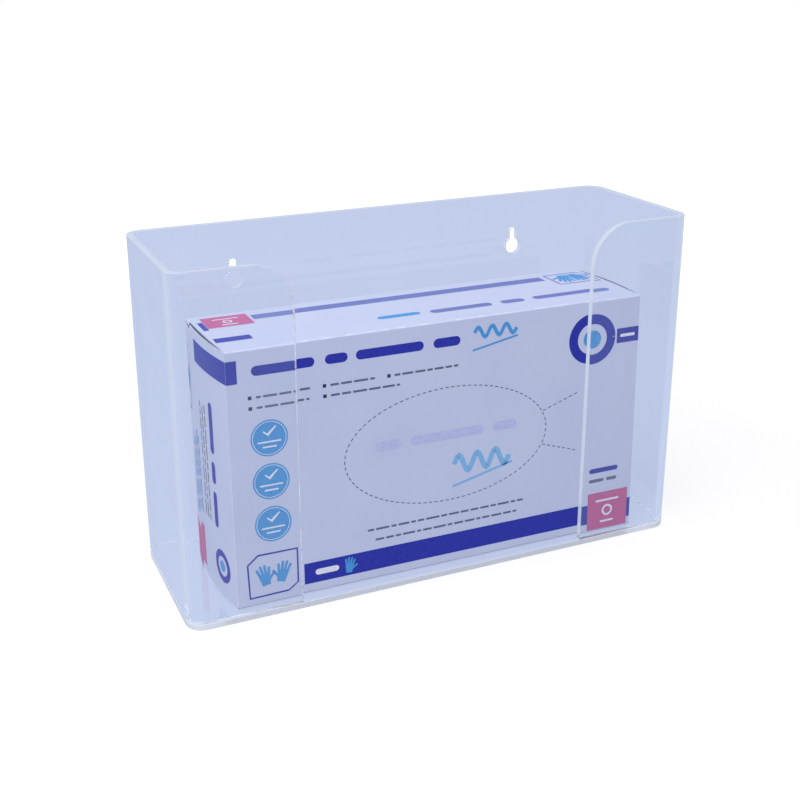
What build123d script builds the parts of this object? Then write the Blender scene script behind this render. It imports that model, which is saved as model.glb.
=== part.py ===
from build123d import *
from math import atan2, cos, degrees, radians, sin
import os

# Glove carton, closed and full
carton_length = 213.5
carton_height = 125.0
carton_depth = 57.0
carton_fold_radius = 0.8
carton_rack = 2.8  # how far the top has slumped towards the back
carton_skew = 2.4  # how far the back has shifted to the left of the front
top_sag = 0.5  # how far the top panel has sunk at its back edge
top_sag_start = 25.0  # distance from the front edge to where it starts to sink
flap_board = 0.5  # thickness of the board
flap_bow = 2.8  # how far an end flap bulges at its middle
end_bow = 0.8  # how far the end behind the flap bulges
flap_slit_depth = 4.0  # depth of the gap between a flap and the end behind it

# Oval tear-off window in the carton's front, cut as a row of short nicks
window_width = 107.5
window_height = 58.3
window_from_left = 108.5
window_above_base = 63.0
nick_pitch = 3.0
nick_length = 1.7
nick_width = 0.5
nick_depth = 0.25

# Two rows of nicks that fan out from the window's right end
tear_row_start = 17.4  # degrees round the oval, up or down, to where a row starts
tear_row_reach = 20.5
tear_row_rise = 6.9

# Room round the carton inside the dispenser
room_left = 22.0
room_right = 18.5
room_front_left = 4.6
room_front_right = 3.3
room_back = 17.4

# Acrylic sheet
sheet_thickness = 3.0
bend_radius = 8.5  # outside radius of the four upright bends
wall_height = 165.0
rim_round = 0.3  # polished edge of the wall's upper rim
floor_thickness = 3.0

# Front strips
strip_width = 54.7
strip_corner_radius = 20.0

# Keyholes in the back, for hanging on two screws
keyhole_spacing = 156.0
keyhole_drop = 28.5  # from the upper rim to the centre of the round hole
keyhole_radius = 4.25
keyhole_slot_width = 4.0
keyhole_slot_rise = 8.0  # from the centre of the round hole to the centre of the slot's round end

inside_width = room_left + carton_length + room_right
inside_depth = room_front_left + carton_depth + room_back
dispenser_width = inside_width + 2 * sheet_thickness
dispenser_depth = inside_depth + 2 * sheet_thickness
opening_width = dispenser_width - 2 * strip_width
rim_height = floor_thickness + wall_height

# Floor plate: the same outline as the wall that stands on it
with BuildPart() as floor_plate:
    with BuildSketch(Plane.XY):
        RectangleRounded(dispenser_width, dispenser_depth, bend_radius)
    extrude(amount=floor_thickness)

# Folded wall: one sheet, bent round the back, the sides and the two front strips
keyhole_height = rim_height - keyhole_drop
back_plane = Plane(origin=(0, dispenser_depth / 2, keyhole_height), x_dir=(1, 0, 0), z_dir=(0, -1, 0))

with BuildPart() as folded_wall:
    with BuildSketch(Plane.XY.offset(floor_thickness)):
        RectangleRounded(dispenser_width, dispenser_depth, bend_radius)
        RectangleRounded(inside_width, inside_depth, bend_radius - sheet_thickness, mode=Mode.SUBTRACT)
        with Locations((0, -dispenser_depth / 2)):
            Rectangle(opening_width, 4 * sheet_thickness, mode=Mode.SUBTRACT)
    extrude(amount=wall_height)

    strip_ends = folded_wall.edges().filter_by(Axis.Y).group_by(Axis.Z)[-1].group_by(SortBy.LENGTH)[0]
    fillet(strip_ends, strip_corner_radius)
    fillet(folded_wall.faces().sort_by(Axis.Z)[-1].outer_wire().edges(), rim_round)

    with BuildSketch(back_plane):
        with GridLocations(keyhole_spacing, 0, 2, 1):
            Circle(keyhole_radius)
        with Locations((0, keyhole_slot_rise / 2)):
            with GridLocations(keyhole_spacing, 0, 2, 1):
                SlotCenterToCenter(keyhole_slot_rise, keyhole_slot_width, rotation=90)
    extrude(amount=sheet_thickness, mode=Mode.SUBTRACT)

# Carton: stands on the floor plate, turned a little, with its top slumped back
carton_turn = atan2(room_front_right - room_front_left, carton_length)
carton_lean = degrees(atan2(carton_rack, carton_height))
carton_base = Plane(
    origin=(room_left - inside_width / 2, room_front_left - inside_depth / 2, floor_thickness),
    x_dir=(cos(carton_turn), sin(carton_turn), 0),
    z_dir=(0, 0, 1),
)
section_plane = Plane(
    origin=carton_base.from_local_coords((-2 * flap_bow, 0, 0)),
    x_dir=carton_base.y_dir,
    z_dir=carton_base.x_dir,
)
window_place = Location((0, 0, 0), (90 - carton_lean, 0, 0)) * Location((window_from_left, window_above_base, 0))
window_plane = Plane(carton_base.location * window_place)


def end_arc(end, near, far, bulge):
    """Curve of one end, from its front edge to its back edge, which lies further left."""
    back_end = end - carton_skew * (far - near) / carton_depth
    ThreePointArc((end, near), ((end + back_end) / 2 + bulge, (near + far) / 2), (back_end, far))


def carton_outline(shift):
    """Plan of the carton at one height: straight front and back, and a bulging flap on each end."""
    far = shift + carton_depth
    with BuildSketch() as outline:
        with BuildLine():
            Line((0, shift), (carton_length, shift))
            end_arc(carton_length, shift, far, flap_bow)
            Line((carton_length - carton_skew, far), (-carton_skew, far))
            end_arc(0, shift, far, -flap_bow)
        make_face()
    return outline.sketch


def flap_gaps(shift):
    """The crescent gaps between each flap and the end behind it, which bulges less."""
    near = shift + 2 * carton_fold_radius
    far = shift + carton_depth - 2 * carton_fold_radius
    with BuildSketch() as gaps:
        for end, way in ((0, -1), (carton_length, 1)):
            with BuildLine():
                end_arc(end, near, far, way * (flap_bow - flap_board))
                end_arc(end, near, far, way * end_bow)
            make_face()
    return gaps.sketch


def nicks_along(path):
    """Places for short nicks, evenly spaced along a path."""
    count = round(path.length / nick_pitch)
    places = []
    for step in range(count):
        along = (step + 0.5) / count
        place = path.position_at(along)
        heading = path.tangent_at(along)
        places.append(Location((place.X, place.Y, 0), (0, 0, degrees(atan2(heading.Y, heading.X)))))
    return places


with BuildLine() as tear_lines:
    EllipticalCenterArc((0, 0), window_width / 2, window_height / 2, arc_size=360)
    row_x = window_width / 2 * cos(radians(tear_row_start))
    row_y = window_height / 2 * sin(radians(tear_row_start))
    Line((row_x, row_y), (row_x + tear_row_reach, row_y + tear_row_rise))
    Line((row_x, -row_y), (row_x + tear_row_reach, -row_y - tear_row_rise))
nick_places = [place for path in tear_lines.edges() for place in nicks_along(path)]

with BuildPart() as glove_carton:
    with BuildSketch(carton_base):
        add(carton_outline(0))
    with BuildSketch(carton_base.offset(carton_height)):
        add(carton_outline(carton_rack))
    loft(ruled=True)

    # Cross-section: folds with a small radius, and a top that sinks towards the back
    with BuildSketch(section_plane) as section:
        with BuildLine():
            Line((carton_rack + top_sag_start, carton_height), (carton_rack, carton_height))
            Line((carton_rack, carton_height), (0, 0))
            Line((0, 0), (carton_depth, 0))
            Line((carton_depth, 0), (carton_rack + carton_depth, carton_height - top_sag))
            TangentArc(
                (carton_rack + top_sag_start, carton_height),
                (carton_rack + carton_depth, carton_height - top_sag),
                tangent=(1, 0),
            )
        make_face()
        corners = section.vertices().filter_by(lambda v: abs(v.X - carton_rack - top_sag_start) > 1)
        fillet(corners, carton_fold_radius)
    extrude(amount=carton_length + 4 * flap_bow, mode=Mode.INTERSECT)

    with BuildSketch(carton_base.offset(carton_height)):
        add(flap_gaps(carton_rack))
    extrude(amount=-flap_slit_depth, mode=Mode.SUBTRACT)
    with BuildSketch(carton_base):
        add(flap_gaps(0))
    extrude(amount=flap_slit_depth, mode=Mode.SUBTRACT)

    with BuildSketch(window_plane):
        with Locations(nick_places):
            Rectangle(nick_length, nick_width)
    extrude(amount=-nick_depth, mode=Mode.SUBTRACT)

folded_wall.part.label = "folded_wall"
floor_plate.part.label = "floor_plate"
glove_carton.part.label = "glove_carton"

os.makedirs("parts", exist_ok=True)
export_step(folded_wall.part, "parts/folded_wall.step")
export_step(floor_plate.part, "parts/floor_plate.step")
export_step(glove_carton.part, "parts/glove_carton.step")
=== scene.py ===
import bpy
import bmesh
import math
import random
from mathutils import Matrix, Vector


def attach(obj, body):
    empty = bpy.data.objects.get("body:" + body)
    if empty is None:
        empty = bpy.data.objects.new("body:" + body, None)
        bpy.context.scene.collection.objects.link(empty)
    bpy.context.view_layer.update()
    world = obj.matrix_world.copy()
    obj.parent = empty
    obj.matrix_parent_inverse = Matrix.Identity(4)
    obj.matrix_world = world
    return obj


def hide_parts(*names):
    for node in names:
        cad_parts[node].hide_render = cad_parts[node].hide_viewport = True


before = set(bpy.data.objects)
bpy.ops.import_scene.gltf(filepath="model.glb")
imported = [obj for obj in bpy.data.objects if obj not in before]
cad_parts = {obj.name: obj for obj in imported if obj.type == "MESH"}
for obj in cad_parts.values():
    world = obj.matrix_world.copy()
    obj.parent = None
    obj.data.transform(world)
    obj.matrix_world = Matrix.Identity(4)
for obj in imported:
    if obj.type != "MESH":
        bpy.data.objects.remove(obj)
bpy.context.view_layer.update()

MM = 0.001
TINY = 1e-9

# Acrylic sheet, in millimetres
WIDTH = 260.0
DEPTH = 85.0
SHEET = 3.0
BEND = 8.5  # outside radius of the upright bends
FLOOR_TOP = 3.0
RIM = 168.0  # height of the upper rim
STRIP = 54.7  # width of a front strip
STRIP_CORNER = 20.0
KEYHOLE_X = 78.0
KEYHOLE_Z = 139.5
KEYHOLE_R = 4.25
SLOT_HALF = 2.0  # half the width of a keyhole's slot
SLOT_RISE = 8.0
EDGE_ROUND = 0.3
SEAM = 0.03  # air between the wall and the floor plate
BEND_MIDDLE = BEND - SHEET / 2  # radius of a bend along the middle of the sheet
BEND_LENGTH = BEND_MIDDLE * math.pi / 2

# Steps round the curves of the sheet
EDGE_STEPS = 3
BEND_STEPS = 18
HOLE_STEPS = 40
SLOT_STEPS = 16
STRIP_CORNER_STEPS = 28
PLATE_CORNER_STEPS = 16
LEVEL = 0.99  # upright share of its normal from which a facet counts as the sheet's face
ON_FACE = 0.9999  # share of the edge's round from which a point counts as on the sheet's face

# Acrylic looks: colours are linear, heights are in metres
ACRYLIC_IOR = 1.49
LAST_GLOSSY = 4  # glossy bounce from which the sheet shows a painted glow for light still inside it
LAST_BOUNCE = 12  # the same for bounces of any kind
HAZE_SCALE = 60.0
HAZE_SPREAD = (0.35, 0.75)
TONE_SCALE = 14.0
TONE_SPREAD = (0.3, 0.7)
TONE_DARKER = 0.985
RIPPLE_SCALE = 22.0
RIPPLE_HEIGHT = 0.0002

# Carton, in millimetres
CARTON_ORIGIN = (-105.0, -34.9, 3.0)  # front left foot
CARTON_LENGTH = 213.5
CARTON_HEIGHT = 125.0
CARTON_DEPTH = 57.0
NEARER_AT_RIGHT = 1.3  # how much nearer to the front its right end stands
CARTON_TURN = math.atan2(-NEARER_AT_RIGHT, CARTON_LENGTH)
RACK = 2.8  # how far the top has slumped towards the back
SKEW = 2.4  # how far the back has shifted to the left
SAG = 0.5
SAG_START = 25.0
FLAP_BOW = 2.8

# Print on the carton, in millimetres: front (along, up), top (along, in), left end (in, up)
PRINT_START = 0.5  # where the front's left edge lies in these measures
RIGHT_EDGE = CARTON_LENGTH + PRINT_START
CORNER_BAND = (109.9, 120.6)
SMALL_PRINT = 1.05
LABEL_LINE = 1.1
INK_LIFT = 0.04
INK_STEP = 0.02
OVERPRINT = {"pink": 1, "sky_blue": 1, "white": 2}
TOP_CUT = 2.0  # distance between the cuts that let the flat print follow a curved panel
LEFT_CUT = 1.5
ROUND_STEPS = 48
CAP_STEPS = 8
WAVE_STEPS = 12
SHARPEST = 0.4  # least share by which a corner of a stroke is widened
WORD_LENGTHS = (2.2, 7.0)  # shortest and longest, in heights of the print
WORD_GAP = 0.8

# Ink and board looks
INKS = {
    "deep_blue": (0.010, 0.020, 0.385),
    "sky_blue": (0.062, 0.325, 0.720),
    "pale_sky": (0.230, 0.500, 0.820),
    "grey": (0.125, 0.135, 0.245),
    "night": (0.022, 0.027, 0.075),
    "white": (0.800, 0.830, 0.960),
    "pink": (0.560, 0.105, 0.300),
    "violet": (0.155, 0.195, 0.520),
    "lilac": (0.520, 0.560, 0.860),
}
INK_GRAIN = 900.0
INK_ROUGHNESS = (0.42, 0.55)
INK_SPECULAR = 0.4
BOARD = (0.640, 0.695, 0.905)
BOARD_SHADE = (0.610, 0.670, 0.885)
BOARD_CLOUD = 26.0
BOARD_WEAR = 180.0
BOARD_FIBRE = 1400.0
BOARD_ROUGHNESS = (0.40, 0.52)
FIBRE_BUMP = 0.15
FIBRE_HEIGHT = 0.0001
WORN_BOARD = (0.80, 0.83, 0.94)
MOST_WORN = 0.8
# Painted shade: colour for the floors of the window's nicks and the line where the front stands on the
# floor plate
PAINTED_SHADE_DARK = (0.20, 0.22, 0.36)
# Painted shade: board in crevices, as ambient occlusion finds them, is darkened towards this colour
PAINTED_CREVICE_SHADE = (0.16, 0.17, 0.26)
CREVICE_REACH = 0.004
CREVICE_SAMPLES = 8
DARKEST_PAINTED_SHADE = 0.80

# Where folds and nicks lie, in millimetres from the carton's front left foot
FOLD_BEHIND = (0.06, 0.9)
NICKS_ALONG = (50.0, 188.0)
NICKS_UP = (28.0, 97.0)
FOOT_UP = (-1.0, 0.7)

# Surroundings: as seen through the sheet, as mirrored in it and as light
WHITE = (1.0, 1.0, 1.0)
SEEN_THROUGH = (0.600, 0.680, 0.880)
MIRRORED = (0.52, 0.60, 0.79)
FILL = (0.46, 0.47, 0.52)
FLOOR_FILL = (0.30, 0.31, 0.34)
FLOOR_MATT = (0.32, 0.32, 0.32)
GLOW_SHARE = 0.8
MATT_SHARE = 0.2
GLOW_GROWS = (0.25, 0.9)  # metres from the object's middle
GLOW_NEAR = 0.72
FLOOR_RADIUS = 4000.0
FLOOR_STEPS = 60
FLOOR_DROP = 0.05

# Lamp, in metres
LAMP_DIRECTION = (-0.33, -0.22, 0.68)
LAMP_DISTANCE = 1.5
LAMP_SIZE = 1.1
LAMP_LEVEL = 0.67
LAMP_COLOUR = (1.0, 0.99, 1.0)
LAMP_TARGET = (0, 0, 0.07)

# Camera, fitted to the photograph: place in millimetres, lens and shift in the photograph's pixels
CAMERA_AZIMUTH = math.radians(-22.80)
CAMERA_ELEVATION = math.radians(18.88)
CAMERA_ROLL = math.radians(-0.56)
CAMERA_PLACE = (-233.75, -502.03, 295.86)
IMAGE_WIDTH = 800
FOCAL_PIXELS = 1183.52
SHIFT_PIXELS = (30, -55)
SENSOR_WIDTH = 36.0


# Node helpers
def new_material(name):
    mat = bpy.data.materials.new(name)
    mat.use_nodes = True
    mat.node_tree.nodes.clear()
    return mat, mat.node_tree.nodes, mat.node_tree.links


def node(nodes, kind, **values):
    n = nodes.new(kind)
    for key, value in values.items():
        setattr(n, key, value)
    return n


def math_node(nodes, links, operation, a, b):
    n = node(nodes, "ShaderNodeMath", operation=operation)
    for i, value in enumerate((a, b)):
        if isinstance(value, (int, float)):
            n.inputs[i].default_value = value
        else:
            links.new(value, n.inputs[i])
    return n.outputs[0]


def noise(nodes, links, vector, scale, detail):
    n = node(nodes, "ShaderNodeTexNoise")
    n.inputs["Scale"].default_value = scale
    n.inputs["Detail"].default_value = detail
    links.new(vector, n.inputs["Vector"])
    return n.outputs["Fac"]


def remap(nodes, links, value, low, high, to_low, to_high):
    n = node(nodes, "ShaderNodeMapRange")
    links.new(value, n.inputs["Value"])
    n.inputs["From Min"].default_value = low
    n.inputs["From Max"].default_value = high
    n.inputs["To Min"].default_value = to_low
    n.inputs["To Max"].default_value = to_high
    return n.outputs["Result"]


def mix_colour(nodes, links, factor, a, b):
    n = node(nodes, "ShaderNodeMix", data_type="RGBA")
    for key, value in (("Factor", factor), ("A", a), ("B", b)):
        socket = [s for s in n.inputs if s.name == key and s.enabled][0]
        if isinstance(value, tuple):
            socket.default_value = (*value, 1.0)
        else:
            links.new(value, socket)
    return [s for s in n.outputs if s.enabled][0]


def add_bump(nodes, links, shader, height, strength, distance):
    n = node(nodes, "ShaderNodeBump")
    n.inputs["Strength"].default_value = strength
    n.inputs["Distance"].default_value = distance
    links.new(height, n.inputs["Height"])
    links.new(n.outputs["Normal"], shader.inputs["Normal"])


def finish_material(nodes, links, shader):
    out = node(nodes, "ShaderNodeOutputMaterial")
    links.new(shader.outputs["BSDF"], out.inputs["Surface"])


# Shape helpers
def link(mesh, name, material, smooth=True):
    """Makes a piece from a mesh."""
    ob = bpy.data.objects.new(name, mesh)
    bpy.context.scene.collection.objects.link(ob)
    ob.data.materials.append(material)
    for poly in mesh.polygons:
        poly.use_smooth = smooth
    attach(ob, "root")
    return ob


def arc_points(cx, cy, r, start, end, count):
    """Points along an arc, with its angles in degrees."""
    points = []
    for k in range(count + 1):
        angle = math.radians(start + (end - start) * k / count)
        points.append((cx + r * math.cos(angle), cy + r * math.sin(angle)))
    return points


def circle_points(cx, cy, r, count):
    return arc_points(cx, cy, r, 0, 360 - 360 / count, count - 1)


def cut_across(bm, direction, place):
    """Cuts every face of a flat mesh at one place along a direction."""
    parts = bm.verts[:] + bm.edges[:] + bm.faces[:]
    point = [place * c for c in direction]
    bmesh.ops.bisect_plane(bm, geom=parts, plane_co=point, plane_no=direction)


# Acrylic
def acrylic(name, tint, roughness, bump, clear, painted_glow):
    """Clear sheet. At the last bounce it shows a painted glow in a pale tone for light still in it, not
    black.
    """
    mat, nodes, links = new_material(name)
    coords = node(nodes, "ShaderNodeTexCoord").outputs["Object"]
    shader = node(nodes, "ShaderNodeBsdfPrincipled")
    shader.inputs["Transmission Weight"].default_value = clear
    shader.inputs["IOR"].default_value = ACRYLIC_IOR

    path = node(nodes, "ShaderNodeLightPath").outputs
    last_glossy = math_node(nodes, links, "GREATER_THAN", path["Glossy Depth"], LAST_GLOSSY - 0.5)
    last_bounce = math_node(nodes, links, "GREATER_THAN", path["Ray Depth"], LAST_BOUNCE - 0.5)
    glow_switch = math_node(nodes, links, "MAXIMUM", last_glossy, last_bounce)
    # Painted glow: from the last bounce on, the sheet emits this pale colour
    shader.inputs["Emission Color"].default_value = (*painted_glow, 1.0)
    links.new(glow_switch, shader.inputs["Emission Strength"])

    haze = noise(nodes, links, coords, HAZE_SCALE, 3.0)
    polish = remap(nodes, links, haze, *HAZE_SPREAD, roughness * 0.4, roughness * 1.6)
    links.new(polish, shader.inputs["Roughness"])

    spots = noise(nodes, links, coords, TONE_SCALE, 2.0)
    darker = tuple(c * TONE_DARKER for c in tint)
    tone = mix_colour(nodes, links, remap(nodes, links, spots, *TONE_SPREAD, 0.0, 1.0), tint, darker)
    links.new(tone, shader.inputs["Base Color"])

    ripple = noise(nodes, links, coords, RIPPLE_SCALE, 1.0)
    add_bump(nodes, links, shader, ripple, bump, RIPPLE_HEIGHT)
    finish_material(nodes, links, shader)
    return mat


acrylic_face = acrylic(
    "acrylic_face", tint=(0.965, 0.972, 0.985), roughness=0.015, bump=0.03,
    clear=1.0, painted_glow=(0.30, 0.34, 0.42),
)
acrylic_edge = acrylic(
    "acrylic_edge", tint=(0.930, 0.950, 0.990), roughness=0.18, bump=0.10,
    clear=0.75, painted_glow=(0.32, 0.36, 0.43),
)
acrylic_sawn_edge = acrylic(
    "acrylic_sawn_edge", tint=(0.950, 0.975, 1.000), roughness=0.30, bump=0.15,
    clear=0.25, painted_glow=(0.38, 0.43, 0.52),
)


def edge_profile():
    """Offset in from the outline and distance through the sheet, for its rounded edges."""
    steps = []
    for k in range(EDGE_STEPS + 1):
        angle = math.radians(90 / EDGE_STEPS * k)
        steps.append((EDGE_ROUND * (1 - math.sin(angle)), EDGE_ROUND * (1 - math.cos(angle))))
    return steps + [(offset, SHEET - depth) for offset, depth in reversed(steps)]


def build_slab(loops_at, cuts):
    """A flat slab with rounded edges, from loops given for each offset, cut across at the given places."""
    bm = bmesh.new()
    rows = []
    for offset, depth in edge_profile():
        rows.append([[bm.verts.new((a, b, depth)) for a, b in loop] for loop in loops_at(offset)])
    for low, high in zip(rows, rows[1:]):
        for one, two in zip(low, high):
            for k in range(len(one)):
                n = (k + 1) % len(one)
                bm.faces.new((one[k], one[n], two[n], two[k]))
    for row in (rows[0], rows[-1]):
        edges = []
        for loop in row:
            for k in range(len(loop)):
                edges.append(bm.edges.get((loop[k], loop[(k + 1) % len(loop)])))
        bmesh.ops.triangle_fill(bm, use_beauty=True, use_dissolve=False, edges=edges)
    for place in cuts:
        cut_across(bm, (1, 0, 0), place)
    bmesh.ops.recalc_face_normals(bm, faces=bm.faces[:])
    return bm


def slab_normals(bm):
    """Exact normals of the flat slab, so that its rounded edges don't tilt the light on its faces."""
    normals = []
    for v in bm.verts:
        depth = v.co.z
        inward = min(depth, SHEET - depth)
        facing = -1.0 if depth < SHEET / 2 else 1.0
        across = max(0.0, 1.0 - inward / EDGE_ROUND)
        flat = Vector((0, 0, 0))
        for f in v.link_faces:
            if abs(f.normal.z) < LEVEL:
                flat += f.calc_area() * Vector((f.normal.x, f.normal.y, 0)).normalized()
        if across > ON_FACE or flat.length < TINY:
            normals.append(Vector((0, 0, facing)))
        else:
            sideways = flat.normalized() * math.sqrt(1 - across * across)
            normals.append(sideways + Vector((0, 0, facing * across)))
    return normals


def mark_edges(bm):
    """Gives the cut edges of the flat slab their own material."""
    for f in bm.faces:
        f.material_index = 0 if abs(f.normal.z) > LEVEL else 1


def wall_runs():
    """The flats and bends of the wall, from the left strip's free edge round to the right strip's."""
    strip = STRIP - BEND
    side = DEPTH - 2 * BEND
    back = WIDTH - 2 * BEND
    found = []
    length = 0.0
    place = Vector((-(WIDTH / 2 - STRIP), -DEPTH / 2))
    heading = math.pi
    for number, flat in enumerate((strip, side, back, side, strip)):
        if number > 0:
            found.append((length, "bend", place.copy(), heading))
            length += BEND_LENGTH
            centre = place - BEND * Vector((-math.sin(heading), math.cos(heading)))
            heading -= math.pi / 2
            place = centre + BEND * Vector((-math.sin(heading), math.cos(heading)))
        found.append((length, "flat", place.copy(), heading))
        length += flat
        place += flat * Vector((math.cos(heading), math.sin(heading)))
    return found, length


runs, SHEET_LENGTH = wall_runs()


def folded(length, z, depth):
    """Where a point of the flat sheet comes to lie once it is bent, and the plan directions there."""
    passed = [run for run in runs if run[0] <= length + TINY]
    start, kind, origin, angle = (passed or runs[:1])[-1]
    outward = Vector((-math.sin(angle), math.cos(angle)))
    if kind == "flat":
        ahead = Vector((math.cos(angle), math.sin(angle)))
        p = origin + (length - start) * ahead - depth * outward
    else:
        angle -= (length - start) / BEND_MIDDLE
        p = origin - BEND * outward + (BEND - depth) * Vector((-math.sin(angle), math.cos(angle)))
    along = Vector((math.cos(angle), math.sin(angle), 0))
    inward = Vector((math.sin(angle), -math.cos(angle), 0))
    return Vector((p.x, p.y, z)) * MM, along, inward


def lying(x, y, depth):
    """The floor plate stays flat, so that a point only changes its unit."""
    return Vector((x, y, depth)) * MM, Vector((1, 0, 0)), Vector((0, 0, 1))


def keyhole(centre, offset):
    r = KEYHOLE_R + offset
    half = SLOT_HALF + offset
    mouth = math.degrees(math.asin(half / r))
    hole = arc_points(centre, KEYHOLE_Z, r, 90 - mouth, -270 + mouth, HOLE_STEPS)
    return hole + arc_points(centre, KEYHOLE_Z + SLOT_RISE, half, 180, 0, SLOT_STEPS)


def wall_loops(offset):
    """The flat wall's outline, moved inwards by an offset, and its keyholes, widened by it."""
    low = FLOOR_TOP + SEAM + offset
    up = RIM - STRIP_CORNER
    r = STRIP_CORNER - offset
    loop = [(offset, low), (SHEET_LENGTH - offset, low)]
    loop += arc_points(SHEET_LENGTH - STRIP_CORNER, up, r, 0, 90, STRIP_CORNER_STEPS)
    loop += arc_points(STRIP_CORNER, up, r, 90, 180, STRIP_CORNER_STEPS)
    middle = SHEET_LENGTH / 2
    return [loop, keyhole(middle - KEYHOLE_X, offset), keyhole(middle + KEYHOLE_X, offset)]


def bend_cuts():
    cuts = []
    for start, kind, _, _ in runs:
        if kind == "bend":
            cuts += [start + BEND_LENGTH * k / BEND_STEPS for k in range(BEND_STEPS + 1)]
    return cuts


def plate_loops(offset):
    x = WIDTH / 2 - BEND
    y = DEPTH / 2 - BEND
    loop = []
    for cx, cy, start in ((x, y, 0), (-x, y, 90), (-x, -y, 180), (x, -y, 270)):
        loop += arc_points(cx, cy, BEND - offset, start, start + 90, PLATE_CORNER_STEPS)
    return [loop]


def slab_object(bm, name, placed, upward, edge):
    """Puts the flat slab in its place with its normals, and makes the piece."""
    bm.verts.index_update()
    bm.normal_update()
    flat_normals = slab_normals(bm)
    mark_edges(bm)
    normals = []
    for v, n in zip(bm.verts, flat_normals):
        v.co, along, inward = placed(*v.co)
        normals.append((n.x * along + n.y * upward + n.z * inward).normalized())
    bm.normal_update()
    if sum(f.normal.dot(normals[f.verts[0].index]) for f in bm.faces) < 0:
        bmesh.ops.reverse_faces(bm, faces=bm.faces[:])
    mesh = bpy.data.meshes.new(name)
    bm.to_mesh(mesh)
    bm.free()
    ob = link(mesh, name, acrylic_face)
    mesh.materials.append(edge)
    mesh.normals_split_custom_set_from_vertices(normals)
    ob.visible_shadow = False
    ob.visible_diffuse = False
    return ob


wall_slab = build_slab(wall_loops, bend_cuts())
wall = slab_object(wall_slab, "folded_sheet", folded, Vector((0, 0, 1)), acrylic_edge)
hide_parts("folded_wall")

plate_slab = build_slab(plate_loops, [])
plate = slab_object(plate_slab, "floor_sheet", lying, Vector((0, 1, 0)), acrylic_sawn_edge)
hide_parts("floor_plate")


# Carton surface
def at_carton(along, inward, up):
    """A point of the carton, from its distances along the front, inwards and up."""
    leaned = inward + RACK * up / CARTON_HEIGHT
    x = CARTON_ORIGIN[0] + along * math.cos(CARTON_TURN) - leaned * math.sin(CARTON_TURN)
    y = CARTON_ORIGIN[1] + along * math.sin(CARTON_TURN) + leaned * math.cos(CARTON_TURN)
    return Vector((x, y, CARTON_ORIGIN[2] + up)) * MM


def left_end(inward):
    """How far the bulging left end lies to the right of its front edge. It follows the circle
    through its front edge, its middle and its back edge."""
    ax = -SKEW / 2 - FLAP_BOW
    ay = CARTON_DEPTH / 2
    bx = -SKEW
    by = CARTON_DEPTH
    double = 2 * (ax * by - ay * bx)
    cx = (by * (ax * ax + ay * ay) - ay * (bx * bx + by * by)) / double
    cy = (ax * (bx * bx + by * by) - bx * (ax * ax + ay * ay)) / double
    r = math.hypot(cx, cy)
    return cx - math.sqrt(max(0.0, r * r - (inward - cy) ** 2))


def sag(inward):
    """How far the top panel has sunk."""
    if inward <= SAG_START:
        return 0.0
    run = CARTON_DEPTH - SAG_START
    r = (run * run + SAG * SAG) / (2 * SAG)
    return r - math.sqrt(r * r - (inward - SAG_START) ** 2)


def panel_front(a, b, lift):
    return at_carton(a - PRINT_START, -lift, b)


def panel_top(a, b, lift):
    return at_carton(a - PRINT_START, b, CARTON_HEIGHT - sag(b) + lift)


def panel_left(a, b, lift):
    return at_carton(left_end(a) - lift, a, b)


top_cuts = range(round((CARTON_DEPTH - SAG_START) / TOP_CUT) + 1)
left_cuts = range(1, round(CARTON_DEPTH / LEFT_CUT))
PANELS = {"front": panel_front, "top": panel_top, "left": panel_left}
CUTS = {
    "front": [],
    "top": [((0, 1, 0), SAG_START + TOP_CUT * k) for k in top_cuts],
    "left": [((1, 0, 0), LEFT_CUT * k) for k in left_cuts],
}
prints = {}


# Printed shapes
def put(ink, panel, points):
    prints.setdefault(ink, {}).setdefault(panel, []).append(points)


def box(ink, panel, a0, a1, b0, b1):
    put(ink, panel, [(a0, b0), (a1, b0), (a1, b1), (a0, b1)])


def disc(ink, panel, a, b, r):
    put(ink, panel, circle_points(a, b, r, ROUND_STEPS))


def bar(ink, panel, a0, a1, b, thick):
    """A level stroke with round ends."""
    r = thick / 2
    right_cap = arc_points(a1 - r, b, r, -90, 90, CAP_STEPS)
    put(ink, panel, right_cap + arc_points(a0 + r, b, r, 90, 270, CAP_STEPS))


def upright_bar(ink, panel, a, b0, b1, thick):
    r = thick / 2
    top_cap = arc_points(a, b1 - r, r, 0, 180, CAP_STEPS)
    put(ink, panel, top_cap + arc_points(a, b0 + r, r, 180, 360, CAP_STEPS))


def heading_bars(ink, panel, spans, b, thick):
    """Level strokes in a row, as the words of a heading lie."""
    for a0, a1 in spans:
        bar(ink, panel, a0, a1, b, thick)


def stroke(ink, panel, points, thick):
    """A line of constant thickness through points, as one strip."""
    pts = [Vector(p) for p in points]
    left = []
    right = []
    for k, p in enumerate(pts):
        before = pts[max(0, k - 1)]
        after = pts[min(len(pts) - 1, k + 1)]
        along = (after - before).normalized()
        side = Vector((-along.y, along.x)) * thick / 2
        if 0 < k < len(pts) - 1:
            one = (p - before).normalized()
            side = side / max(SHARPEST, along.dot(one))
        left.append(p + side)
        right.append(p - side)
    for k in range(len(pts) - 1):
        put(ink, panel, [tuple(right[k]), tuple(right[k + 1]), tuple(left[k + 1]), tuple(left[k])])


def ring(ink, panel, a, b, r, thick):
    stroke(ink, panel, arc_points(a, b, r, 0, 360, ROUND_STEPS), thick)


def word_spans(start, end, height, seed):
    """Lengths with gaps between them, as the words of a line of small print lie."""
    rng = random.Random(seed)
    at = start
    while at < end - height:
        size = min(end - at, height * rng.uniform(*WORD_LENGTHS))
        yield at, at + size
        at += size + height * WORD_GAP


def words(ink, panel, a0, a1, b, height, seed):
    """A row of short plain bars, as a line of small print."""
    for start, end in word_spans(a0, a1, height, seed):
        bar(ink, panel, start, end, b, height)


def upright_words(ink, panel, a, b0, b1, height, seed):
    for start, end in word_spans(b0, b1, height, seed):
        upright_bar(ink, panel, a, start, end, height)


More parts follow.
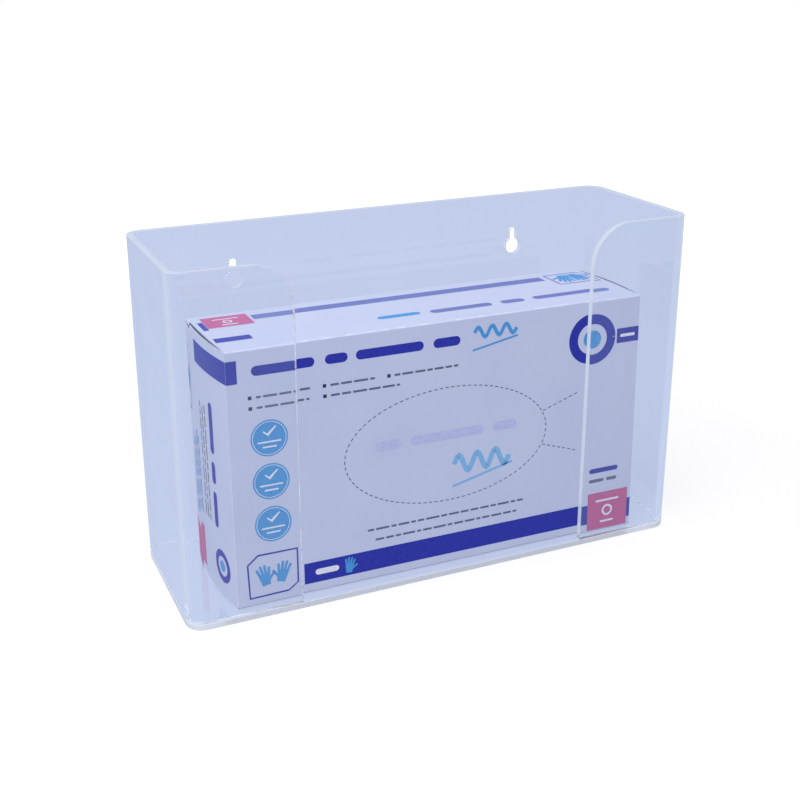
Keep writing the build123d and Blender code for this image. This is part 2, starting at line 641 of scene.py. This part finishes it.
def glove(panel, a, b, size, tilt, flip):
    """Plain outline of a glove with its fingers spread, size from cuff to fingertips."""
    fingers = (
        # foot, lean in degrees, length, half width
        ((-0.21, 0.06), -14, 0.30, 0.062),
        ((-0.07, 0.10), -4, 0.36, 0.062),
        ((0.07, 0.10), 5, 0.34, 0.062),
        ((0.21, 0.05), 15, 0.27, 0.060),
        ((0.27, -0.16), 50, 0.24, 0.060),
    )
    outline = [(-0.20, -0.50), (-0.27, -0.06)]
    for base, lean, reach, half in fingers:
        way = Vector((math.sin(math.radians(lean)), math.cos(math.radians(lean))))
        side = Vector((way.y, -way.x)) * half
        foot = Vector(base)
        tip = foot + way * reach
        outline.append(tuple(foot - side))
        outline += arc_points(tip.x, tip.y, half, 180 - lean, -lean, CAP_STEPS)
        outline.append(tuple(foot + side))
    outline += [(0.21, -0.30), (0.18, -0.50)]
    turn = Matrix.Rotation(math.radians(tilt), 2)
    points = [turn @ Vector((x * flip * size, y * size)) for x, y in outline]
    if flip < 0:
        points.reverse()
    put("sky_blue", panel, [(a + p.x, b + p.y) for p in points])


def wave(ink, panel, a0, a1, b, height, waves, thick):
    """A wavy line."""
    count = WAVE_STEPS * waves
    points = []
    for k in range(count + 1):
        share = k / count
        rise = height / 2 * math.sin(2 * math.pi * waves * share)
        points.append((a0 + (a1 - a0) * share, b + rise))
    stroke(ink, panel, points, thick)


def label(panel, sides, upper, middle, lower):
    """A plain pink label with a ring between two lines."""
    box("pink", panel, *sides)
    bar("white", panel, *upper, LABEL_LINE)
    ring("white", panel, *middle)
    bar("white", panel, *lower, LABEL_LINE)


def target(panel, a, b, r, thick, inner_r):
    """A thick ring round a disc."""
    ring("deep_blue", panel, a, b, r, thick)
    disc("sky_blue", panel, a, b, inner_r)


def tick_disc(a, b):
    """A disc with a thin ring, a tick and two lines."""
    disc("sky_blue", "front", a, b, 8.8)
    ring("white", "front", a, b, 7.9, 0.28)
    stroke("white", "front", [(a - 2.8, b + 3.4), (a - 0.8, b + 1.6), (a + 3.2, b + 5.4)], 0.7)
    bar("white", "front", a - 5.6, a + 5.6, b - 1.8, 0.8)
    bar("white", "front", a - 3.4, a + 3.4, b - 4.2, 0.8)


def print_front():
    box("deep_blue", "front", 33.5, RIGHT_EDGE, 4.7, 15.4)
    box("deep_blue", "front", PRINT_START, 5.5, *CORNER_BAND)
    for b in (82.4, 61.3, 40.1):
        tick_disc(19.0, b)

    # Frame with a pair of gloves, and the bar and glove on the stripe
    corners = [(5.7, 21.2), (10.9, 25.4), (30.0, 25.3), (29.9, 8.0), (25.2, 4.5), (6.2, 4.1), (5.7, 21.2)]
    stroke("deep_blue", "front", corners, 0.8)
    glove("front", 13.6, 14.6, 10.5, 12, 1)
    glove("front", 22.6, 15.0, 10.5, -14, -1)
    bar("white", "front", 39.0, 51.0, 10.0, 3.0)
    glove("front", 56.5, 10.1, 8.0, -6, 1)

    # Heading
    spans = ((12.0, 42.0), (47.0, 58.0), (62.0, 96.0), (101.0, 115.0))
    heading_bars("deep_blue", "front", spans, 114.8, 4.6)
    wave("sky_blue", "front", 122.5, 145.0, 117.2, 5.0, 3, 1.8)
    stroke("sky_blue", "front", [(121.5, 108.6), (145.8, 113.2)], 0.9)

    # Two rows of small print, each item with a square dot
    upper_row = ((10.8, 39.8), (46.4, 72.5), (78.2, 115.6))
    lower_row = ((10.9, 39.2), (46.5, 83.8))
    half_dot = 0.85
    for b, items in ((102.5, upper_row), (97.5, lower_row)):
        for a0, a1 in items:
            box("night", "front", a0 - half_dot, a0 + half_dot, b - half_dot, b + half_dot)
            words("grey", "front", a0 + 2.8, a1, b, SMALL_PRINT, int(a0 + b))

    # Faint print inside the tear-off window
    heading_bars("lilac", "front", ((71.0, 84.0), (89.0, 128.0), (133.0, 146.0)), 68.0, 4.6)
    wave("pale_sky", "front", 112.0, 142.0, 52.0, 8.5, 3, 2.7)
    stroke("pale_sky", "front", [(111.2, 40.5), (144.0, 48.2)], 1.2)

    # Small print below the window and at the right
    words("grey", "front", 66.0, 151.0, 26.0, SMALL_PRINT, 8)
    words("grey", "front", 70.0, 147.0, 20.5, SMALL_PRINT, 9)
    bar("deep_blue", "front", 188.4, 205.5, 34.2, 2.6)
    words("grey", "front", 188.4, 205.0, 28.6, 1.8, 10)

    label(
        "front", (188.2, 212.1, 0.9, 21.6),
        upper=(193.0, 207.0, 16.8), middle=(200.1, 11.0, 2.6, 1.1), lower=(196.0, 204.0, 4.9),
    )

    # Ring and band at the upper right
    target("front", 187.5, 105.5, 10.4, 5.0, 4.6)
    box("deep_blue", "front", 201.3, RIGHT_EDGE, 101.6, 109.2)
    bar("white", "front", 203.2, 211.8, 105.4, 1.6)


def print_top():
    label(
        "top", (3.2, 25.6, 35.4, 52.2),
        upper=(8.0, 21.0, 47.6), middle=(14.4, 43.0, 1.9, 0.9), lower=(10.5, 18.5, 38.4),
    )

    # Stripes
    box("violet", "top", 27.0, 185.0, 41.3, 48.5)
    box("deep_blue", "top", PRINT_START, 3.0, 33.0, 46.0)
    box("deep_blue", "top", PRINT_START + 0.4, 18.0, 14.0, 20.0)

    # Heading
    bar("sky_blue", "top", 80.0, 102.0, 17.0, 4.0)
    heading_bars("violet", "top", ((107.0, 140.0), (145.0, 158.0), (163.0, 206.0)), 16.0, 5.0)

    # Frame with a pair of gloves
    corners = [(188.5, 31.5), (211.0, 31.5), (211.0, 45.0), (206.5, 49.5), (188.5, 49.5), (188.5, 31.5)]
    stroke("violet", "top", corners, 0.9)
    glove("top", 196.0, 40.4, 13.0, 168, 1)
    glove("top", 204.0, 40.4, 13.0, 192, -1)


def print_left_end():
    box("deep_blue", "left", 0.1, 38.0, *CORNER_BAND)

    # Frame with a glove near the back edge
    stroke("deep_blue", "left", [(45.5, 86.0), (45.5, 108.0), (50.0, 113.0), (55.4, 113.0)], 0.8)
    stroke("deep_blue", "left", [(45.5, 86.0), (50.0, 82.0), (55.4, 82.0)], 0.8)
    glove("left", 50.8, 97.5, 12.0, 8, 1)

    # Upright heading and small print
    for b0, b1 in ((34.0, 52.0), (56.0, 67.0), (71.0, 96.0)):
        upright_bar("deep_blue", "left", 18.5, b0, b1, 4.2)
    for a, seed in ((26.5, 21), (30.0, 22), (33.5, 23)):
        upright_words("grey", "left", a, 34.0, 92.0, 1.2, seed)
    for a, seed in ((40.5, 24), (44.0, 25)):
        upright_words("sky_blue", "left", a, 32.0, 74.0, 1.4, seed)

    box("pink", "left", 40.0, 54.8, 3.0, 24.5)
    target("left", 14.5, 15.6, 6.6, 3.2, 2.8)


def ink_material(name, colour):
    """Satin ink with a fine grain."""
    mat, nodes, links = new_material(name)
    coords = node(nodes, "ShaderNodeTexCoord").outputs["Object"]
    shader = node(nodes, "ShaderNodeBsdfPrincipled")
    grain = noise(nodes, links, coords, INK_GRAIN, 3.0)
    pale = tuple(min(1.0, c * 1.12 + 0.01) for c in colour)
    tone = mix_colour(nodes, links, remap(nodes, links, grain, 0.35, 0.7, 0.0, 1.0), colour, pale)
    links.new(tone, shader.inputs["Base Color"])
    links.new(remap(nodes, links, grain, 0.3, 0.7, *INK_ROUGHNESS), shader.inputs["Roughness"])
    shader.inputs["Specular IOR Level"].default_value = INK_SPECULAR
    finish_material(nodes, links, shader)
    return mat


def flat_print(panel, shapes):
    """The flat shapes of one ink on one panel, cut where the panel curves."""
    flat = bmesh.new()
    for points in shapes:
        flat.faces.new([flat.verts.new((a, b, 0)) for a, b in points])
    bmesh.ops.triangulate(flat, faces=[f for f in flat.faces if len(f.verts) > 4])
    for direction, place in CUTS[panel]:
        cut_across(flat, direction, place)
    return flat


def print_object(ink, by_panel):
    """Everything printed in one ink, laid on the carton's panels with its faces outwards."""
    bm = bmesh.new()
    lift = INK_LIFT + INK_STEP * OVERPRINT.get(ink, 0)
    centre = at_carton(CARTON_LENGTH / 2, CARTON_DEPTH / 2, CARTON_HEIGHT / 2)
    for panel, shapes in by_panel.items():
        flat = flat_print(panel, shapes)
        made = {}
        for v in flat.verts:
            made[v] = bm.verts.new(PANELS[panel](v.co.x, v.co.y, lift))
        for f in flat.faces:
            face = bm.faces.new([made[v] for v in f.verts])
            face.normal_update()
            if face.normal.dot(face.calc_center_median() - centre) < 0:
                face.normal_flip()
        flat.free()
    mesh = bpy.data.meshes.new("print_" + ink)
    bm.to_mesh(mesh)
    bm.free()
    link(mesh, "print_" + ink, ink_material("ink_" + ink, INKS[ink]), smooth=False)


print_front()
print_top()
print_left_end()
for ink, by_panel in prints.items():
    print_object(ink, by_panel)


# Board
def board_material():
    """Printed board: a cloudy satin coat, worn paler along the folds. Painted shade darkens the floors of
    the window's nicks, the line where the front stands on the floor plate and the gaps at the flaps."""
    mat, nodes, links = new_material("coated_board")
    corner = at_carton(0, 0, 0)
    along = (at_carton(1, 0, 0) - corner).normalized()
    upward = (at_carton(0, 0, 1) - corner).normalized()
    inward = upward.cross(along).normalized()
    spot = node(nodes, "ShaderNodeVectorMath", operation="SUBTRACT")
    links.new(node(nodes, "ShaderNodeNewGeometry").outputs["Position"], spot.inputs[0])
    spot.inputs[1].default_value = corner

    def distance(way):
        n = node(nodes, "ShaderNodeVectorMath", operation="DOT_PRODUCT")
        links.new(spot.outputs["Vector"], n.inputs[0])
        n.inputs[1].default_value = way
        return math_node(nodes, links, "DIVIDE", n.outputs["Value"], MM)

    def both(one, other):
        return math_node(nodes, links, "MULTIPLY", one, other)

    def between(value, low, high):
        above = math_node(nodes, links, "GREATER_THAN", value, low)
        below = math_node(nodes, links, "LESS_THAN", value, high)
        return both(above, below)

    # Painted shade on the floors of the window's nicks and along the front's foot
    shallow = between(distance(inward), *FOLD_BEHIND)
    window = both(between(distance(along), *NICKS_ALONG), between(distance(upward), *NICKS_UP))
    foot = between(distance(upward), *FOOT_UP)
    painted_shade = both(shallow, math_node(nodes, links, "MAXIMUM", window, foot))
    fold = math_node(nodes, links, "SUBTRACT", shallow, painted_shade)

    coords = node(nodes, "ShaderNodeTexCoord").outputs["Object"]
    shader = node(nodes, "ShaderNodeBsdfPrincipled")
    cloud = noise(nodes, links, coords, BOARD_CLOUD, 3.0)
    cloudy = remap(nodes, links, cloud, 0.35, 0.65, 0.0, 1.0)
    wear = noise(nodes, links, coords, BOARD_WEAR, 3.0)
    worn = both(fold, remap(nodes, links, wear, 0.40, 0.62, 0.0, MOST_WORN))
    # Painted shade: darker where ambient occlusion finds the board shut in a crevice
    crevice = node(nodes, "ShaderNodeAmbientOcclusion", only_local=True, samples=CREVICE_SAMPLES)
    crevice.inputs["Distance"].default_value = CREVICE_REACH
    painted_crevice_shade = remap(nodes, links, crevice.outputs["AO"], 0.30, 0.85, DARKEST_PAINTED_SHADE, 0.0)
    colour = mix_colour(nodes, links, cloudy, BOARD, BOARD_SHADE)
    colour = mix_colour(nodes, links, worn, colour, WORN_BOARD)
    colour = mix_colour(nodes, links, painted_shade, colour, PAINTED_SHADE_DARK)
    colour = mix_colour(nodes, links, painted_crevice_shade, colour, PAINTED_CREVICE_SHADE)
    links.new(colour, shader.inputs["Base Color"])

    fibre = noise(nodes, links, coords, BOARD_FIBRE, 4.0)
    links.new(remap(nodes, links, fibre, 0.3, 0.7, *BOARD_ROUGHNESS), shader.inputs["Roughness"])
    add_bump(nodes, links, shader, fibre, FIBRE_BUMP, FIBRE_HEIGHT)
    finish_material(nodes, links, shader)
    return mat


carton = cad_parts["glove_carton"]
carton.material_slots[0].material = board_material()


# Stage: pale floor, world and lamp
def ray_colour(nodes, links, seen, through, mirrored, other):
    """One colour for what the camera sees, one through the sheet, one in reflections, one as light."""
    path = node(nodes, "ShaderNodeLightPath").outputs
    colour = mix_colour(nodes, links, path["Is Glossy Ray"], other, mirrored)
    colour = mix_colour(nodes, links, path["Is Transmission Ray"], colour, through)
    return mix_colour(nodes, links, path["Is Camera Ray"], colour, seen)


def dimmed(colour, share):
    return tuple(c * share for c in colour)


def floor_colour(nodes, links, seen, share):
    """The colour of one of the floor's two shares."""
    return ray_colour(nodes, links, seen, dimmed(SEEN_THROUGH, share), dimmed(MIRRORED, share), FLOOR_FILL)


def floor_material():
    """A glow that grows to white away from the object, and a matt share that takes its shadow."""
    mat, nodes, links = new_material("pale_floor")
    away = node(nodes, "ShaderNodeVectorMath", operation="LENGTH")
    links.new(node(nodes, "ShaderNodeTexCoord").outputs["Object"], away.inputs[0])
    seen = remap(nodes, links, away.outputs["Value"], *GLOW_GROWS, GLOW_NEAR, 1.0)
    glow = node(nodes, "ShaderNodeEmission")
    links.new(floor_colour(nodes, links, seen, GLOW_SHARE), glow.inputs["Color"])
    matt = node(nodes, "ShaderNodeBsdfDiffuse")
    links.new(floor_colour(nodes, links, FLOOR_MATT, MATT_SHARE), matt.inputs["Color"])
    total = node(nodes, "ShaderNodeAddShader")
    links.new(glow.outputs[0], total.inputs[0])
    links.new(matt.outputs[0], total.inputs[1])
    links.new(total.outputs[0], node(nodes, "ShaderNodeOutputMaterial").inputs["Surface"])
    return mat


def make_floor():
    mesh = bpy.data.meshes.new("studio_floor")
    outline = circle_points(0, 0, FLOOR_RADIUS, FLOOR_STEPS)
    points = [(x * MM, y * MM, -FLOOR_DROP * MM) for x, y in outline]
    mesh.from_pydata(points, [], [list(range(FLOOR_STEPS))])
    floor = bpy.data.objects.new("studio_floor", mesh)
    bpy.context.scene.collection.objects.link(floor)
    floor.data.materials.append(floor_material())


def make_world():
    world = bpy.data.worlds.new("studio")
    bpy.context.scene.world = world
    world.use_nodes = True
    nodes = world.node_tree.nodes
    links = world.node_tree.links
    nodes.clear()
    sky = node(nodes, "ShaderNodeBackground")
    colour = ray_colour(nodes, links, WHITE, SEEN_THROUGH, MIRRORED, FILL)
    links.new(colour, sky.inputs["Color"])
    links.new(sky.outputs[0], node(nodes, "ShaderNodeOutputWorld").inputs["Surface"])


def make_lamp():
    """A square soft lamp aimed at the object. At level 1 it alone renders a colour as it is written."""
    data = bpy.data.lights.new("key_softbox", "AREA")
    data.shape = "SQUARE"
    data.size = LAMP_SIZE
    data.energy = LAMP_LEVEL * math.pi ** 2 * LAMP_DISTANCE ** 2
    data.color = LAMP_COLOUR
    lamp = bpy.data.objects.new("key_softbox", data)
    bpy.context.scene.collection.objects.link(lamp)
    away = Vector(LAMP_DIRECTION).normalized()
    lamp.location = Vector(LAMP_TARGET) + away * LAMP_DISTANCE
    lamp.rotation_euler = away.to_track_quat("Z", "Y").to_euler()


def make_camera():
    level = math.cos(CAMERA_ELEVATION)
    forward = Vector((
        -math.sin(CAMERA_AZIMUTH) * level, math.cos(CAMERA_AZIMUTH) * level, -math.sin(CAMERA_ELEVATION),
    ))
    right = forward.cross(Vector((0, 0, 1))).normalized()
    up = right.cross(forward)
    rolled_right = math.cos(CAMERA_ROLL) * right + math.sin(CAMERA_ROLL) * up
    rolled_up = -math.sin(CAMERA_ROLL) * right + math.cos(CAMERA_ROLL) * up
    data = bpy.data.cameras.new("photo_camera")
    data.sensor_width = SENSOR_WIDTH
    data.lens = FOCAL_PIXELS / IMAGE_WIDTH * SENSOR_WIDTH
    data.shift_x = SHIFT_PIXELS[0] / IMAGE_WIDTH
    data.shift_y = SHIFT_PIXELS[1] / IMAGE_WIDTH
    camera = bpy.data.objects.new("photo_camera", data)
    bpy.context.scene.collection.objects.link(camera)
    turn = Matrix((rolled_right, rolled_up, -forward)).transposed().to_4x4()
    camera.matrix_world = Matrix.Translation(Vector(CAMERA_PLACE) * MM) @ turn
    bpy.context.scene.camera = camera


make_floor()
make_world()
make_lamp()
make_camera()
bpy.context.scene.view_settings.view_transform = "Standard"

bpy.context.view_layer.update()
